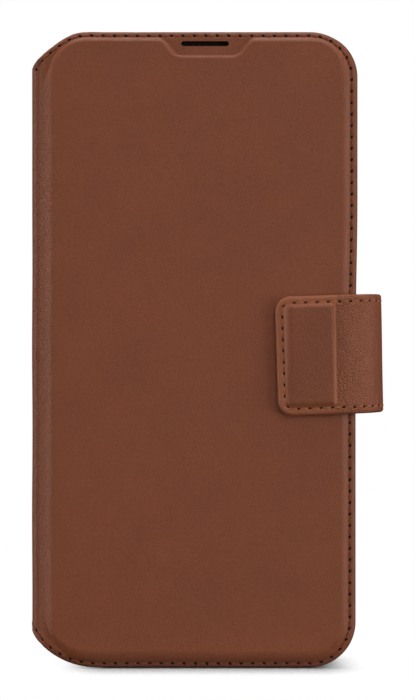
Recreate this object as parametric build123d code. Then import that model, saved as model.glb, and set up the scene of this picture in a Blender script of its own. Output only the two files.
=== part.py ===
from build123d import *
import math
import os

# Phone wallet case, closed, standing upright on its bottom edge.
# Frame in mm: +X right, the front faces -Y, +Z up. Origin at the bottom centre of the whole object.

# Covers, seen from the front
FOLD_X = -45.85             # spine side of the case
COVER_WIDTH = 85.2
HEIGHT = 167.0
EDGE_X = FOLD_X + COVER_WIDTH
FOLD_CORNER_R = 19.6        # large corner arcs beside the spine
FOLD_ARC_CENTRE = 16.9      # from the spine side to the centre of that arc
FREE_CORNER_R = 13.2
FOLD_R = 3.0                # outside radius of the leather at each fold
TURN_IN = 0.8               # leather turned over every edge
BOARD_INSET = 2.4
BOARD_START = 4.2           # spine side to the first stiffened material

# Layers, back to front: the y value of each interface
BACK_Y = 11.3
BACK_LEATHER_IN = 10.3
BACK_BOARD_IN = 9.4
SHELL_BACK = 8.9
SHELL_FLOOR = 7.6
SHELL_PAD = 7.2
SHELL_LIP = -1.1
SHELL_FRONT = -2.0
POCKET_FACE = -2.3
POCKET_T = 0.45
COVER_LINING_IN = -4.1
COVER_BOARD_IN = -4.6
COVER_LEATHER_IN = -5.6
COVER_Y = -6.6
PAD_TOP = -6.7
PANEL_Y = -7.7
STRAP_IN = -8.0
STRAP_LEATHER_IN = -8.6
STRAP_Y = -9.9
STRAP_PAD_Y = -11.3

# Raised panel, sound slot and seams
PANEL_INSET = 1.9
PANEL_START = 4.6
PANEL_EDGE_R = 1.0
PANEL_CORNER_R = 4.0
SLOT_X = -0.25
SLOT_Z = 163.95
SLOT_LENGTH = 12.5
SLOT_WIDTH = 1.6
NOTCH_TOP = 25.0
NOTCH_BOTTOM = 16.2
NOTCH_Z = 160.8
SEAM_INSET = 1.05
SEAM_WIDTH = 0.5
SEAM_DEPTH = 0.25

# Phone shell
SHELL_X = -0.4
SHELL_WIDTH = 78.9
SHELL_HEIGHT = 162.3
SHELL_Z = 83.5
SHELL_CORNER_R = 14.0
SHELL_WALL = 1.05
LIP_OVERHANG = 0.7
WINDOW_X = 16.5
WINDOW_Z = 140.5
WINDOW_WIDTH = 37.0
WINDOW_HEIGHT = 39.0
WINDOW_R = 9.0
WINDOW_GAP = 0.1
WINDOW_LIP_T = 1.2
WINDOW_LIP_Y = 11.0
PORT_LENGTH = 44.0
PORT_WIDTH = 5.2
PORT_Y = 3.0

# Buttons in the shell walls: name, side (-1 spine side), centre height, length
BUTTONS = (
    ("action_button", -1, 127.0, 8.0),
    ("volume_up_button", -1, 111.5, 10.0),
    ("volume_down_button", -1, 97.5, 10.0),
    ("side_button", 1, 112.5, 17.0),
)
BUTTON_Y = 3.0
BUTTON_WIDTH = 2.6
BUTTON_GAP = 0.25
BUTTON_PROUD = 0.7
BUTTON_SET_IN = 0.5         # room left for the phone's own button

# Strap with its magnet pad
STRAP_START = 18.45
STRAP_WIDTH = 31.2
STRAP_Z = 82.0
STRAP_TILT = 1.8
STRAP_TILT_X = 27.3
STRAP_CORNER_R = 4.0
STRAP_BEND_R = 6.2
STRAP_LEATHER_T = 1.3
STRAP_LINING_T = 0.6
TAIL_START = 26.0
PAD_WIDTH = 13.7
PAD_HEIGHT = 27.0
PAD_CORNER_R = 1.2
PAD_EDGE_R = 1.0
MAGNET_WIDTH = 9.5
MAGNET_HEIGHT = 11.0
MAGNET_T = 1.8
MAGNET_PITCH = 12.2
STRAP_SEAM_INSET = 1.55
STRAP_SEAM_DEPTH = 0.25

# Pockets on the inside of the front cover: mouth position from the spine side
POCKET_MOUTHS = (18.0, 30.0, 42.0)
POCKET_NAMES = ("card_pocket_outer", "card_pocket_middle", "card_pocket_inner")
POCKET_END = 82.2
POCKET_BOTTOM = 36.0
POCKET_TOP = 132.0
CASH_MOUTH = 9.0
CASH_BOTTOM = 8.0
CASH_TOP = 155.0
CASH_CORNER_R = 8.0
POCKET_SEAM_INSET = 1.4
POCKET_SEAM_DEPTH = 0.15
CATCH_WIDTH = 14.0
CATCH_HEIGHT = 27.0
CATCH_T = 0.6
FIT_GAP = 0.1


def prism(sketch, y_back, y_front):
    """A front-view sketch made solid between two depths."""
    face = Plane(origin=(0, y_back, 0), x_dir=(1, 0, 0), z_dir=(0, -1, 0)) * sketch
    return extrude(face, amount=y_back - y_front)


def block(x0, x1, y0, y1, z0, z1):
    """An axis-aligned block between two corners."""
    size = (x1 - x0, y1 - y0, z1 - z0)
    return Pos((x0 + x1) / 2, (y0 + y1) / 2, (z0 + z1) / 2) * Box(*size)


def rect(x0, x1, z0, z1):
    """A front-view rectangle between two corners."""
    return Pos((x0 + x1) / 2, (z0 + z1) / 2) * Rectangle(x1 - x0, z1 - z0)


def rounded(x, z, width, height, radius):
    """A front-view rectangle with four equal round corners."""
    return Pos(x, z) * RectangleRounded(width, height, radius)


def cover_outline(inset=0.0, start=0.0):
    """Outline of a cover, pulled in by inset and cut straight at a distance from the spine side."""
    left = FOLD_X + FOLD_ARC_CENTRE - FOLD_CORNER_R + inset
    right = EDGE_X - inset
    shape = rect(left, right, inset, HEIGHT - inset)
    shape = fillet(shape.vertices().sort_by(Axis.X)[:2], FOLD_CORNER_R - inset)
    shape = fillet(shape.vertices().sort_by(Axis.X)[-2:], FREE_CORNER_R - inset)
    return shape & rect(FOLD_X + start, right, 0, HEIGHT)


def seam(start):
    """Ring that a line of stitches follows just inside a cover's edge."""
    outer = cover_outline(SEAM_INSET, start)
    inner = cover_outline(SEAM_INSET + SEAM_WIDTH, start - 1)
    return outer - inner


def window(grow=0.0):
    """Camera window outline."""
    return rounded(
        WINDOW_X, WINDOW_Z, WINDOW_WIDTH + 2 * grow, WINDOW_HEIGHT + 2 * grow, WINDOW_R + grow
    )


def tilted(solid):
    """Turn a strap part to the strap's slight slope."""
    middle = Pos(STRAP_TILT_X, 0, STRAP_Z)
    return middle * Rot(0, -STRAP_TILT, 0) * middle.inverse() * solid


def back_parts():
    """The back cover: leather turned over a board, with a lining."""
    edge = FOLD_R
    leather = prism(cover_outline(0, edge), BACK_Y, SHELL_BACK)
    leather -= prism(cover_outline(TURN_IN, edge - 1), BACK_BOARD_IN, SHELL_BACK - 1)
    leather -= prism(cover_outline(BOARD_INSET, BOARD_START), BACK_LEATHER_IN, BACK_BOARD_IN)
    leather -= prism(window(), BACK_Y + 1, SHELL_BACK - 1)
    leather -= tail(FIT_GAP)
    thread = prism(seam(edge), BACK_Y, BACK_Y - SEAM_DEPTH)
    leather -= thread

    board = prism(cover_outline(BOARD_INSET + FIT_GAP, BOARD_START + FIT_GAP), BACK_LEATHER_IN, BACK_BOARD_IN)
    board -= prism(window(1.0), BACK_Y, SHELL_BACK)
    board -= tail(FIT_GAP)

    lining = prism(cover_outline(TURN_IN + FIT_GAP, edge + FIT_GAP), BACK_BOARD_IN, SHELL_BACK)
    lining -= prism(window(), BACK_Y, SHELL_BACK - 1)
    return {
        "back_leather": leather,
        "back_board": board,
        "back_lining": lining,
        "back_stitching": thread,
        "strap_tail": tail(0),
    }


def tail(gap):
    """Thinned end of the strap, sewn in between the back cover's leather and its lining."""
    half = STRAP_WIDTH / 2 + gap
    end = EDGE_X + (2 * gap)
    solid = block(TAIL_START - gap, end, BACK_BOARD_IN, BACK_LEATHER_IN, STRAP_Z - half, STRAP_Z + half)
    return tilted(solid) & block(FOLD_X, EDGE_X, SHELL_BACK, BACK_Y, 0, HEIGHT)


def shell_outline(inset=0.0):
    """Outline of the phone shell, pulled in by inset."""
    return rounded(
        SHELL_X, SHELL_Z, SHELL_WIDTH - 2 * inset, SHELL_HEIGHT - 2 * inset, SHELL_CORNER_R - inset
    )


def port_cut():
    """Charging and speaker cut-out through the shell's bottom wall."""
    z0 = SHELL_Z - SHELL_HEIGHT / 2
    slot = Pos(SHELL_X, PORT_Y) * SlotOverall(PORT_LENGTH, PORT_WIDTH)
    return extrude(Pos(0, 0, z0 - 1) * slot, amount=SHELL_WALL + 2)


def button_prism(side, z, length, grow, x_in, x_out):
    """A button's rounded key shape between two distances from the shell's centre."""
    key = SlotOverall(length + 2 * grow, BUTTON_WIDTH + 2 * grow)
    plane = Plane(origin=(SHELL_X + side * x_in, BUTTON_Y, z), x_dir=(0, 0, 1), z_dir=(side, 0, 0))
    return extrude(plane * key, amount=x_out - x_in)


def shell_parts():
    """The phone shell: tray, its soft pad and the raised lip of the camera window."""
    tray = prism(shell_outline(), SHELL_BACK, SHELL_FRONT)
    tray = fillet(tray.faces().sort_by(Axis.Y)[0].edges(), 0.5)
    tray -= prism(shell_outline(SHELL_WALL), SHELL_FLOOR, SHELL_LIP)
    tray -= prism(shell_outline(SHELL_WALL + LIP_OVERHANG), SHELL_LIP + 1, SHELL_FRONT - 1)
    tray -= prism(window(-WINDOW_LIP_T), BACK_Y, SHELL_FLOOR - 1)
    tray -= port_cut()
    half = SHELL_WIDTH / 2
    for _, side, z, length in BUTTONS:
        tray -= button_prism(side, z, length, BUTTON_GAP, half - 2 * SHELL_WALL, half + SHELL_WALL)

    pad = prism(shell_outline(SHELL_WALL + FIT_GAP), SHELL_FLOOR, SHELL_PAD)
    pad -= prism(window(-WINDOW_LIP_T + 0.5), BACK_Y, SHELL_PAD - 1)

    lip = prism(window(-WINDOW_GAP), WINDOW_LIP_Y, SHELL_BACK)
    lip -= prism(window(-WINDOW_LIP_T), BACK_Y, SHELL_FLOOR)
    return {"shell_tray": tray, "shell_pad": pad, "camera_lip": lip}


def button_parts():
    """Keys in the shell's side walls."""
    half = SHELL_WIDTH / 2
    inner = half - SHELL_WALL + BUTTON_SET_IN
    outer = half + BUTTON_PROUD
    keys = {}
    for name, side, z, length in BUTTONS:
        key = button_prism(side, z, length, 0, inner, outer)
        face = key.faces().sort_by(Axis.X)[-1 if side > 0 else 0]
        keys[name] = fillet(face.edges(), 0.4)
    return keys


def quarter_ring(x, y, outer, thickness, sign_x, sign_y):
    """Plan view of a bent sheet: a quarter of a ring on the given side of its centre."""
    ring = Circle(outer) - Circle(outer - thickness)
    ring &= Pos(sign_x * outer / 2, sign_y * outer / 2) * Rectangle(outer, outer)
    return Pos(x, y) * ring


def spine_parts():
    """The spine and the two folds of leather that join it to the covers."""
    depth = prism(cover_outline(), BACK_Y, COVER_Y)
    back_centre = BACK_Y - FOLD_R
    front_centre = COVER_Y + FOLD_R
    thick = BACK_Y - BACK_LEATHER_IN
    fold_x = FOLD_X + FOLD_R
    leather = block(FOLD_X, FOLD_X + thick, front_centre, back_centre, 0, HEIGHT) & depth
    board = block(FOLD_X + 1.0, FOLD_X + 2.0, front_centre + 1, back_centre - 0.7, 0, HEIGHT)
    lining = block(FOLD_X + 2.0, FOLD_X + 2.5, front_centre + 1, back_centre, 0, HEIGHT)
    inside = prism(cover_outline(TURN_IN), BACK_Y, COVER_Y)
    front = extrude(quarter_ring(fold_x, front_centre, FOLD_R, thick, -1, -1), amount=HEIGHT) & depth
    back = extrude(quarter_ring(fold_x, back_centre, FOLD_R, thick, -1, 1), amount=HEIGHT) & depth
    return {
        "spine_leather": leather,
        "spine_board": board & inside,
        "spine_lining": lining & inside,
        "front_fold_leather": front,
        "back_fold_leather": back,
    }


def panel_outline(inset=0.0):
    """Outline of the raised panel, notched at the top round the sound slot."""
    shape = cover_outline(PANEL_INSET + inset, PANEL_START + inset)
    shape = fillet(shape.vertices().sort_by(Axis.X)[:2], PANEL_CORNER_R)
    low = NOTCH_Z - inset
    notch = Polygon(
        (SLOT_X - NOTCH_TOP / 2 - inset, HEIGHT),
        (SLOT_X + NOTCH_TOP / 2 + inset, HEIGHT),
        (SLOT_X + NOTCH_BOTTOM / 2 + inset, low),
        (SLOT_X - NOTCH_BOTTOM / 2 - inset, low),
        align=None,
    )
    return shape - notch


def sound_slot(grow=0.0):
    """Sound slot through the front cover."""
    slot = SlotOverall(SLOT_LENGTH + 2 * grow, SLOT_WIDTH + 2 * grow)
    return prism(Pos(SLOT_X, SLOT_Z) * slot, 0, PANEL_Y - 1)


def cover_parts():
    """The front cover: padded leather panel over a board, with a lining."""
    edge = FOLD_R
    raised = prism(panel_outline(), COVER_Y + 0.5, PANEL_Y)
    raised = fillet(raised.faces().sort_by(Axis.Y)[0].edges(), PANEL_EDGE_R)
    padding = prism(panel_outline(1.0), COVER_LEATHER_IN, PAD_TOP)
    leather = prism(cover_outline(0, edge), COVER_LINING_IN, COVER_Y) + raised
    leather -= prism(cover_outline(TURN_IN, edge - 1), COVER_LINING_IN, COVER_BOARD_IN)
    leather -= prism(cover_outline(BOARD_INSET, BOARD_START), COVER_BOARD_IN, COVER_LEATHER_IN)
    leather -= padding
    leather -= sound_slot()
    thread = prism(seam(edge), COVER_Y + SEAM_DEPTH, COVER_Y)
    leather -= thread

    catch = prism(
        rounded(STRAP_TILT_X, STRAP_Z, CATCH_WIDTH, CATCH_HEIGHT, 1.0),
        COVER_LEATHER_IN + CATCH_T,
        COVER_LEATHER_IN,
    )
    board = prism(
        cover_outline(BOARD_INSET + FIT_GAP, BOARD_START + FIT_GAP), COVER_BOARD_IN, COVER_LEATHER_IN
    )
    board -= sound_slot(0.6)
    board -= catch
    lining = prism(cover_outline(TURN_IN + FIT_GAP, edge + FIT_GAP), COVER_LINING_IN, COVER_BOARD_IN)
    lining -= sound_slot()
    return {
        "cover_leather": leather,
        "cover_padding": padding,
        "cover_board": board,
        "cover_lining": lining,
        "cover_stitching": thread,
        "catch_plate": catch,
    }


def pocket_seam(index):
    """Stitch lines along the exposed top and bottom of one card pocket, and the end of the last."""
    last = index == len(POCKET_MOUTHS) - 1
    start = FOLD_X + POCKET_MOUTHS[index]
    stop = FOLD_X + (POCKET_END if last else POCKET_MOUTHS[index + 1])
    if last:
        stop -= POCKET_SEAM_INSET
    face = COVER_LINING_IN + (index + 2) * POCKET_T
    inside = face - POCKET_SEAM_DEPTH
    low = POCKET_BOTTOM + POCKET_SEAM_INSET
    high = POCKET_TOP - POCKET_SEAM_INSET
    seams = block(start, stop, inside, face, low, low + SEAM_WIDTH)
    seams += block(start, stop, inside, face, high - SEAM_WIDTH, high)
    if last:
        seams += block(stop - SEAM_WIDTH, stop, inside, face, low, high)
    return seams


def pocket_parts():
    """A cash pocket and three stepped card pockets, flat on the lining of the front cover."""
    end = FOLD_X + POCKET_END
    cash = rect(FOLD_X + CASH_MOUTH, end, CASH_BOTTOM, CASH_TOP)
    cash = fillet(cash.vertices().sort_by(Axis.X)[-2:], CASH_CORNER_R)
    parts = {"cash_pocket": prism(cash, COVER_LINING_IN + POCKET_T, COVER_LINING_IN)}
    thread = Part()
    for index, name in enumerate(POCKET_NAMES):
        outer = COVER_LINING_IN + (index + 2) * POCKET_T
        sheet = rect(FOLD_X + POCKET_MOUTHS[index], end, POCKET_BOTTOM, POCKET_TOP)
        lines = pocket_seam(index)
        parts[name] = prism(sheet, outer, outer - POCKET_T) - lines
        thread += lines
    parts["pocket_stitching"] = thread
    return parts


def wrap(outer, thickness):
    """Plan view of one layer of the strap where it wraps round the open side of the case."""
    back_y = BACK_LEATHER_IN - STRAP_BEND_R
    front_y = STRAP_Y + STRAP_BEND_R
    side = Pos(EDGE_X + outer - thickness / 2, (back_y + front_y) / 2) * Rectangle(thickness, back_y - front_y)
    layer = quarter_ring(EDGE_X, back_y, outer, thickness, 1, 1)
    layer += side
    layer += quarter_ring(EDGE_X, front_y, outer, thickness, 1, -1)
    z0 = STRAP_Z - STRAP_WIDTH / 2
    return extrude(Pos(0, 0, z0) * layer, amount=STRAP_WIDTH)


def tab_outline(inset=0.0):
    """Outline of the strap's flat end, rounded at its free corners."""
    half = STRAP_WIDTH / 2 - inset
    shape = rect(STRAP_START + inset, EDGE_X + 2, STRAP_Z - half, STRAP_Z + half)
    shape = fillet(shape.vertices().sort_by(Axis.X)[:2], STRAP_CORNER_R - inset)
    return shape & rect(STRAP_START, EDGE_X, STRAP_Z - half, STRAP_Z + half)


def magnets():
    """Two magnets side by side under the strap's pad."""
    for step in (-0.5, 0.5):
        z = STRAP_Z + step * MAGNET_PITCH
        flat = rounded(STRAP_TILT_X, z, MAGNET_WIDTH, MAGNET_HEIGHT, 1.0)
        yield prism(flat, STRAP_LEATHER_IN, STRAP_LEATHER_IN - MAGNET_T)


def strap_parts():
    """The strap: a wrapped band and a flat tab with the magnet pad."""
    raised = prism(
        rounded(STRAP_TILT_X, STRAP_Z, PAD_WIDTH, PAD_HEIGHT, PAD_CORNER_R), STRAP_Y + 0.5, STRAP_PAD_Y
    )
    raised = fillet(raised.faces().sort_by(Axis.Y)[0].edges(), PAD_EDGE_R)
    tab = prism(tab_outline(), STRAP_LEATHER_IN, STRAP_Y) + raised
    ring = tab_outline(STRAP_SEAM_INSET) - tab_outline(STRAP_SEAM_INSET + SEAM_WIDTH)
    ring &= rect(STRAP_START, EDGE_X, 0, HEIGHT)
    thread = prism(ring, STRAP_Y + STRAP_SEAM_DEPTH, STRAP_Y)
    tab -= thread
    low, high = magnets()
    tab -= low
    tab -= high
    parts = {
        "strap_band_leather": wrap(STRAP_BEND_R, STRAP_LEATHER_T),
        "strap_band_lining": wrap(STRAP_BEND_R - STRAP_LEATHER_T, STRAP_LINING_T),
        "strap_tab_leather": tab,
        "strap_tab_lining": prism(tab_outline(), STRAP_IN, STRAP_LEATHER_IN),
        "strap_magnet_lower": low,
        "strap_magnet_upper": high,
        "strap_stitching": thread,
    }
    parts = {name: tilted(solid) for name, solid in parts.items()}
    back_edge = block(FOLD_X, EDGE_X + FIT_GAP, 0, BACK_Y, 0, HEIGHT)
    for name in ("strap_band_leather", "strap_band_lining"):
        parts[name] -= back_edge
    return parts


def main():
    """Build every sub-part and write one STEP file for each."""
    os.makedirs("parts", exist_ok=True)
    parts = {}
    for make in (back_parts, shell_parts, button_parts, spine_parts, cover_parts, pocket_parts, strap_parts):
        parts.update(make())
    for name, solid in parts.items():
        export_step(solid, f"parts/{name}.step")


main()
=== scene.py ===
import math

import bmesh
import bpy
import numpy as np
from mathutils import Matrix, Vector

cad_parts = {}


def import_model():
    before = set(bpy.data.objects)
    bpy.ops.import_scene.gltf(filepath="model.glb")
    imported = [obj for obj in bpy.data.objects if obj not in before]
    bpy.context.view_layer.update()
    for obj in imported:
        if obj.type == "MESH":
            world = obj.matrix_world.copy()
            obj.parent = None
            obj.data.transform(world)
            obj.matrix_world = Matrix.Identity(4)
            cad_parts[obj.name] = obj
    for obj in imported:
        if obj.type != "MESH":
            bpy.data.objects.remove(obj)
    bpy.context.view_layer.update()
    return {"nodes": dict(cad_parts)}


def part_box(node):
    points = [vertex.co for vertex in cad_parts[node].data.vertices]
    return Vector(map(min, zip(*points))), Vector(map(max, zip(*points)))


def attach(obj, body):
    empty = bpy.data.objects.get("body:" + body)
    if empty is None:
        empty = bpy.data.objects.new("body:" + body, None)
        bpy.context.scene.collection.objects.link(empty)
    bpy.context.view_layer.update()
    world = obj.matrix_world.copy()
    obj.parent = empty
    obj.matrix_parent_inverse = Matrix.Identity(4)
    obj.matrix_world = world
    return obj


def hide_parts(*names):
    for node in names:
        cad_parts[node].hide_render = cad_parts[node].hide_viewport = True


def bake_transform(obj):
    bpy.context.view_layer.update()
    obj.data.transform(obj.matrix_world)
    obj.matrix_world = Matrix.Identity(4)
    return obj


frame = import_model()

# Everything below is worked out in millimetres, in the row frame: +X right, front faces -Y, +Z up.
MM = 0.001


def box_mm(node):
    """Lowest and highest corner of a CAD node, in mm."""
    low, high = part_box(node)
    return np.array(low) / MM, np.array(high) / MM


FRONT_LOW, FRONT_HIGH = box_mm("cover_leather")
BACK_LOW, BACK_HIGH = box_mm("back_leather")
FOLD_X = box_mm("spine_leather")[0][0]
EDGE_X = FRONT_HIGH[0]
HEIGHT = FRONT_HIGH[2]
MID_Z = HEIGHT / 2
FRONT_Y = box_mm("cover_stitching")[0][1]
PANEL_RISE = FRONT_Y - FRONT_LOW[1]
BACK_Y = BACK_HIGH[1]
COVER_T = FRONT_HIGH[1] - FRONT_Y
BACK_T = BACK_Y - BACK_LOW[1]

# Covers: the way each faces in Y, its face and its thickness
COVERS = {"front_cover": (-1, FRONT_Y, COVER_T), "back_cover": (1, BACK_Y, BACK_T)}
FOLD_R = 3.0  # outer radius of the leather at each fold
FOLD_ARC = FOLD_R * math.pi / 2
SPINE_HALF = (BACK_Y - FRONT_Y - 2 * FOLD_R) / 2
SPINE_JOIN_RUN = 3.0  # how far from the spine's middle the leather's relief is at its full height
FOLD_EDGE_R = 0.35  # radius of the edge where only the leather folds
FOLD_EDGE_RUN = 1.6  # how far into the fold the edge thins to that
CORNER_R = 12.0
SIDE_BORDER = 0.5  # how much wider the border is along the free edge than along the ends
TOP_FULLNESS = 0.5  # how much further the free edge reaches above the strap than below it
FREE_ZONE = 9.0  # how far from the free edge those two start
FREE_RUN = 7.0
UPPER_RUN = 40.0  # height above the middle over which the top's differences come in
TOP_DIAGONAL = 0.36  # how much straighter the spine's top corner is than its bottom one
FULL_X = -34.2  # where the top outline stands out by that much
LEAN_X = -41.6  # where it draws in by that much
DIAGONAL_WIDTH = 3.2
HINGE_X = FOLD_X + 1.9  # middle of the hinge groove beside the spine
HINGE_DEPTH = 0.36
HINGE_WIDTHS = (0.8, 1.4)  # towards the spine and towards the panel
HINGE_END = 0.3  # how far in from the cover's ends the groove starts
EDGE_FADE = 1.2  # distance over which relief fades out towards an edge
FOOT_SHADE = 4.9  # how far up the painted shade along the leather's foot reaches
FOOT_RUN = 3.5
# strength of the painted shade in the hinge groove
HINGE_SHADE = 0.55
SPINE_CORNER_R = 20.2
SPINE_CORNER_X = FOLD_X + 16.9
COVER_END = EDGE_X - FOLD_X - FOLD_R

# Slow unevenness of the leather: height and the size of its swells
PANEL_UNEVEN, PANEL_SWELL = 0.05, 13.0
BORDER_UNEVEN, BORDER_SWELL = 0.06, 5.0
BACK_UNEVEN, BACK_HOLLOW = 0.04, 0.05
STRAP_UNEVEN, STRAP_SWELL = 0.03, 3.5

# Seams
SEAM_D = 1.2
SEAM_PITCH = 3.0
SEAM_DEPTH = 0.2
SEAM_WIDTH = 0.36
SEAM_STOP = -3.4  # where along the sheet the border seam's channel stops beside the spine
SEAM_DRAWN = (0.55, 0.45)  # share of a channel's depth everywhere, and the share added at each needle hole
STITCH_LENGTH = 0.80  # share of the pitch that the thread spans
STITCH_LIFT = 0.14
STITCH_SINK = 0.16
STITCH_LEAN = 0.14
HOLE_ALONG = (0.28, 0.16)  # a slanted awl hole's ellipse along and across the seam
HOLE_ACROSS = (-0.08, 0.40)
HOLE_RISE = np.array([-0.30, 0.02, 0.07, 0.09])
HOLE_TAPER = np.array([1.0, 1.0, 0.85, 0.2])

# The raised panel, the notch and the sound slot
PANEL_D = 1.5
PANEL_SLOPE = 2.15
PANEL_FOOT = 1.2  # how much wider the slope is along the bottom edge
PANEL_HEAD = 0.7  # how much narrower it is along the top edge
PANEL_END = 74.0  # height from the middle where the slope starts to change
PANEL_END_RUN = 6.0
PANEL_START = FOLD_X + 1.9
PANEL_EASE = 3.9  # width of the gentler slope beside the hinge
PANEL_EASE_POWER = 1.6
PANEL_CORNER = 5.6
PANEL_DOME = 0.12  # how much the panel swells towards its middle
DOME_RUN = 20.0  # distance from its edge over which it swells
PILLOW = 2.0  # how much steeper a padded edge is at its foot
SLOT_X = -0.25
SLOT_Z = 163.8
SLOT_SIZE = (12.5, 1.3)
GAUZE_DEPTH = 1.3
GAUZE_T = 0.12
GAUZE_MARGIN = (0.6, 0.5)  # how far the gauze reaches past the slot in X and Z
NOTCH_Z = 160.7
NOTCH_X = SLOT_X + 0.5
NOTCH_HALF = 7.9
NOTCH_LEAN = 0.84  # half width gained per mm of height
NOTCH_CORNER = 0.9
NOTCH_SLOPE = 0.8
NOTCH_SIDE_SLOPE = 0.95
NOTCH_BLEND = 1.1  # how softly the notch's slope runs into the panel's

# Linings
LINING_INSET = 0.85
LINING_T = 0.34
LINING_LIFT = 0.02
LINING_EDGE_R = 0.15
LINING_SUNK = 0.3  # how far the leather's back is sunk to leave room for the lining

# Strap
STRAP_W = 31.2
STRAP_Z = 82.0
STRAP_TILT = math.radians(1.8)
STRAP_T = 1.9
STRAP_R = 6.2
STRAP_END = 18.45
STRAP_CORNER = 4.0
STRAP_PAD_X = 27.3  # line the magnet pad's edges are measured from and the strap's slope turns about
STRAP_PAD = (6.85, 13.5)  # from that line to the pad's left edge, and half the pad's height
STRAP_PAD_RIGHT = 6.55  # from that line to its right edge
STRAP_PAD_RISE = 1.4
STRAP_PAD_FALL = 0.52  # share of the rise that is lost from the pad's top to its bottom
STRAP_PAD_SLOPES = (2.5, 0.9, 1.0, 1.5)  # width of its left, right, top and bottom slopes
STRAP_FRONT_Y = -9.9
STRAP_BACK_Y = 10.3
STRAP_TAIL_X = 36.0
STRAP_SLACK = 1.25  # how far the loop of the strap stands off its tightest path
STRAP_SLACK_TURN = 0.20  # how much more at the strap's top edge, and less at its bottom edge
STRAP_ROOT_THIN = 0.9  # how much thinner the strap is at its root
STRAP_ROOT_RUN = 4.5
STRAP_SEAM_D = 1.8
STRAP_PITCH = 2.95
STRAP_SEAM_DEPTH = 0.25
CREASE = 0.03

# Where the lines of a sheet's grid lie, in from its outline, and as shares of what is left further in
EDGE_LINES = [0, 0.02, 0.07, 0.15, 0.27, 0.42, 0.6, 0.8]
FINE_LINES = EDGE_LINES + [1.0, 1.1, 1.2, 1.3, 1.4, 1.5, 1.6, 1.7] + list(np.arange(1.8, 8.41, 0.2))
COARSE_LINES = EDGE_LINES + [1.1, 2.5, 6.5]
LINING_LINES = [0, 0.03, 0.1, 0.2, 0.4, 1.0, 3.0, 6.5]
LEAF_LINES = [0, 0.03, 0.08, 0.16, 0.3, 0.6, 1.2, 2.4, 4.0, 5.5]
STRAP_FINE = EDGE_LINES + [1.0, 1.2, 1.4, 1.6, 1.8, 2.0, 2.2, 2.4, 2.65, 2.9, 3.2, 3.5]
STRAP_COARSE = EDGE_LINES + [1.4, 3.0]
COVER_DEEP = np.linspace(0, 1, 13)[1:]
COVER_EASING = [0.008, 0.02, 0.04]
STRAP_DEEP = np.linspace(0, 1, 41)[1:]
CORNER_POINTS = 26
MERGE = 1e-7  # metres within which points of a mesh are one
LINED_FROM = 0.6  # how far in from the outline a sheet's back is lining


# ---- shape helpers

def smooth(t):
    """0 to 1 with no kink at either end."""
    t = np.clip(t, 0, 1)
    return t * t * (3 - 2 * t)


def bump(x, width):
    """A soft ridge of height 1 at x = 0."""
    return np.exp(-((x / width) ** 2))


def bullnose(d, radius, power=2.4):
    """How far a rounded edge lies below the face, at distance d in from the outline."""
    t = np.clip((radius - d) / radius, 0, 1)
    return radius * (1 - (1 - t**power) ** (1 / power))


def round_min(a, b, radius):
    """The smaller of two inside distances, with a round corner where both are small."""
    corner = radius - np.hypot(np.maximum(radius - a, 0), np.maximum(radius - b, 0))
    return np.where((a < radius) & (b < radius), corner, np.minimum(a, b))


def ripple(x, z, size):
    """Slow unevenness of hand-laid leather, about -1 to 1."""
    a = np.sin(x / size + 1.3 * np.sin(z / (1.7 * size) + 0.6))
    b = np.sin(z / (1.25 * size) + 1.1 * np.sin(x / (1.4 * size) + 2.1))
    return (a + b) / 2


def u_grid(columns, end, half, slope, radius, insets, deep, step):
    """Nested U-shaped lines over a sheet that is open at its left and has round corners at its end.

    Returns (s, w, d), each one row for each line: distance along, distance from the middle, and inset.
    """
    arm = np.asarray(columns, float)
    centre = end - radius
    high = float(half(np.array([end]))[0]) - radius
    angle = np.linspace(0, math.pi / 2, CORNER_POINTS)[1:-1]
    side = np.linspace(high, -high, max(3, int(2 * high / step)))
    rows = []
    for d in insets:
        arm_w = half(arm) - d * slope(arm)
        turn_s = centre + (radius - d) * np.sin(angle)
        turn_w = high + (radius - d) * np.cos(angle)
        s = np.concatenate([arm, turn_s, np.full(len(side), end - d), turn_s[::-1], arm[::-1]])
        w = np.concatenate([arm_w, turn_w, side, -turn_w[::-1], -arm_w[::-1]])
        rows.append((s, w, np.full(len(s), float(d))))
    last_s, last_w, last_d = rows[-1]
    corner = np.full(len(s) - 2 * len(arm), centre)
    middle = np.concatenate([arm, corner, arm[::-1]])
    for t in deep:
        reach = t * (high - radius)
        rows.append((last_s + (middle - last_s) * t, last_w * (1 - t), last_d + reach))
    return tuple(np.array(part) for part in zip(*rows))


def loop_grid(x0, x1, z0, z1, radius, insets, step=2.0):
    """Nested closed loops over a rounded rectangle, ending near its middle line."""
    cx, cz = (x0 + x1) / 2, (z0 + z1) / 2
    hx, hz = (x1 - x0) / 2, (z1 - z0) / 2
    rows = []
    angle = np.linspace(0, math.pi / 2, 9)
    across = np.linspace(-1, 1, max(4, int(2 * hx / step)))[1:-1]
    along = np.linspace(-1, 1, max(4, int(2 * hz / step)))[1:-1]
    for d in insets:
        r = max(radius - d, 0.02)
        a, b = hx - d - r, hz - d - r
        top = np.stack([across * a, np.full(len(across), b + r)], 1)
        right = np.stack([np.full(len(along), a + r), -along * b], 1)
        corner = r * np.stack([np.sin(angle), np.cos(angle)], 1)
        turn = np.stack([corner[:, 1], -corner[:, 0]], 1)
        ring = [top, corner + (a, b), right, turn + (a, -b), -top, -corner - (a, b), -right, -turn + (-a, b)]
        ring = np.concatenate(ring)
        rows.append((ring[:, 0] + cx, ring[:, 1] + cz, np.full(len(ring), float(d))))
    return tuple(np.array(part) for part in zip(*rows))


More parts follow.
